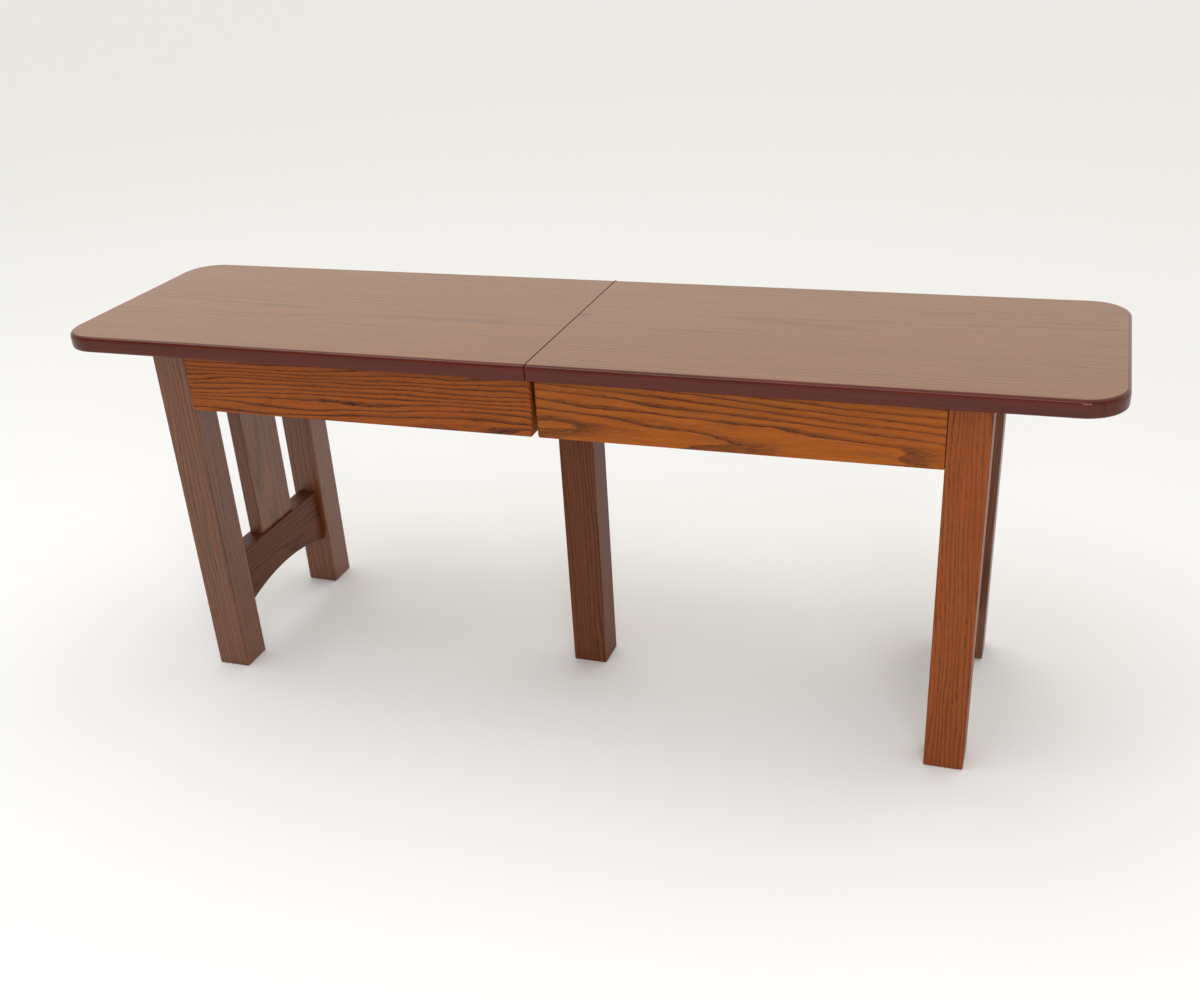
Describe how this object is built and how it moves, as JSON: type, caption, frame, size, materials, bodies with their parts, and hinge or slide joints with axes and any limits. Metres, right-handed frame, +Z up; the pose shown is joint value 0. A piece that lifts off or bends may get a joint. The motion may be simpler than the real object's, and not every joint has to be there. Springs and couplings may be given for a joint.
{
  "type": "extending bench",
  "caption": "Narrow oak bench seat on square legs, split across the middle, whose two halves slide apart on geared wooden slides over a fixed centre leg.",
  "frame": {"origin": "on the floor, under the middle of the closed bench", "axes": "+X along the bench, +Y across it towards the rear, +Z up; the lever lock is on the front side, -Y"},
  "size_m": [1.226, 0.32, 0.457],
  "materials": {
    "seat_oak": "red-brown stain under semi-gloss lacquer",
    "frame_oak": "red-brown stain under satin lacquer",
    "slide_maple": "planed and waxed",
    "block_poplar": "sawn and sanded, unfinished",
    "gear_steel": "dull machined steel",
    "zinc_steel": "zinc plated",
    "lock_brass": "brass plated"
  },
  "bodies": {
    "centre_frame": {"front_centre_slide": "slide_maple", "rear_centre_slide": "slide_maple", "front_pinion_axle": "zinc_steel", "rear_pinion_axle": "zinc_steel", "front_left_block_screw": "zinc_steel", "front_right_block_screw": "zinc_steel", "rear_left_block_screw": "zinc_steel", "rear_right_block_screw": "zinc_steel", "leg_block": "block_poplar", "centre_leg": "frame_oak", "centre_leg_bolt": "zinc_steel"},
    "left_half": {"left_seat_board": "seat_oak", "left_end_rail": "frame_oak", "left_stretcher": "frame_oak", "left_slat": "frame_oak", "left_front_apron": "frame_oak", "left_front_leg": "frame_oak", "left_front_corner_block": "block_poplar", "left_front_hanger_bolt": "zinc_steel", "left_front_hanger_nut": "zinc_steel", "left_front_slide": "slide_maple", "left_front_rack": "gear_steel", "left_front_slide_stop": "block_poplar", "left_rear_apron": "frame_oak", "left_rear_leg": "frame_oak", "left_rear_corner_block": "block_poplar", "left_rear_hanger_bolt": "zinc_steel", "left_rear_hanger_nut": "zinc_steel", "left_rear_slide": "slide_maple", "left_rear_rack": "gear_steel", "left_rear_slide_stop": "block_poplar", "lock_keeper": "lock_brass"},
    "right_half": {"right_seat_board": "seat_oak", "right_end_rail": "frame_oak", "right_stretcher": "frame_oak", "right_slat": "frame_oak", "right_front_apron": "frame_oak", "right_front_leg": "frame_oak", "right_front_corner_block": "block_poplar", "right_front_hanger_bolt": "zinc_steel", "right_front_hanger_nut": "zinc_steel", "right_front_slide": "slide_maple", "right_front_rack": "gear_steel", "right_front_slide_stop": "block_poplar", "right_rear_apron": "frame_oak", "right_rear_leg": "frame_oak", "right_rear_corner_block": "block_poplar", "right_rear_hanger_bolt": "zinc_steel", "right_rear_hanger_nut": "zinc_steel", "right_rear_slide": "slide_maple", "right_rear_rack": "gear_steel", "right_rear_slide_stop": "block_poplar", "front_alignment_pin": "slide_maple", "rear_alignment_pin": "slide_maple", "lock_plate": "lock_brass", "lock_rivet": "lock_brass"},
    "front_pinion": {"front_pinion": "gear_steel"},
    "rear_pinion": {"rear_pinion": "gear_steel"},
    "lock_lever": {"lock_lever": "lock_brass"}
  },
  "joints": [
    {"name": "left_extension", "type": "slide", "parent": "centre_frame", "child": "left_half", "axis": [-1, 0, 0], "range_m": [0, 0.305]},
    {"name": "right_extension", "type": "slide", "parent": "centre_frame", "child": "right_half", "axis": [1, 0, 0], "range_m": [0, 0.305]},
    {"name": "front_pinion_spin", "type": "hinge", "parent": "centre_frame", "child": "front_pinion", "pos_m": [0, -0.0745, 0.401], "axis": [0, 0, 1], "continuous": true},
    {"name": "rear_pinion_spin", "type": "hinge", "parent": "centre_frame", "child": "rear_pinion", "pos_m": [0, 0.0745, 0.401], "axis": [0, 0, 1], "continuous": true},
    {"name": "lock_lever_swing", "type": "hinge", "parent": "right_half", "child": "lock_lever", "pos_m": [0.016, -0.1215, 0.406], "axis": [0, 1, 0], "range_deg": [0, 90]}
  ],
  "couplings": [
    {"joint": "right_extension", "follows": "left_extension", "ratio": 1},
    {"joint": "front_pinion_spin", "follows": "left_extension", "rad_per_m": -62.5},
    {"joint": "rear_pinion_spin", "follows": "left_extension", "rad_per_m": -62.5}
  ]
}
